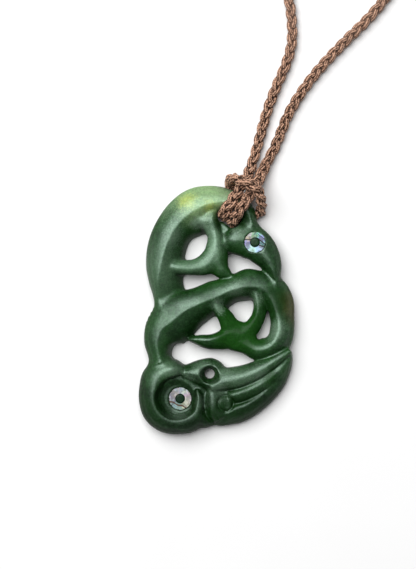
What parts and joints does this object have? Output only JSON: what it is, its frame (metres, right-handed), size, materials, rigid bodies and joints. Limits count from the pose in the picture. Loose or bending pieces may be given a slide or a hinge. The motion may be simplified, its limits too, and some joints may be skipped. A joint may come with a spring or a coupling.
{
  "type": "manaia pendant on a plaited neck cord",
  "caption": "Pierced green stone pendant carved as a coiled bird-headed figure with shell eye rings, on a brown plaited neck cord with a barrel clasp.",
  "frame": {"origin": "middle of the carving's outline, on its flat back", "axes": "+X to the right of the carved face, +Y towards the cord, +Z out of the carved face"},
  "size_m": [0.0891, 0.2554, 0.0138],
  "materials": {
    "green_stone": "polished, slightly translucent",
    "shell": "polished, iridescent",
    "waxed_thread": "waxed plait",
    "dark_wood": "oiled"
  },
  "bodies": {
    "root": {"stone": "green_stone", "upper_eye_ring": "shell", "lower_eye_ring": "shell", "neck_cord": "waxed_thread", "clasp": "dark_wood"}
  },
  "joints": []
}
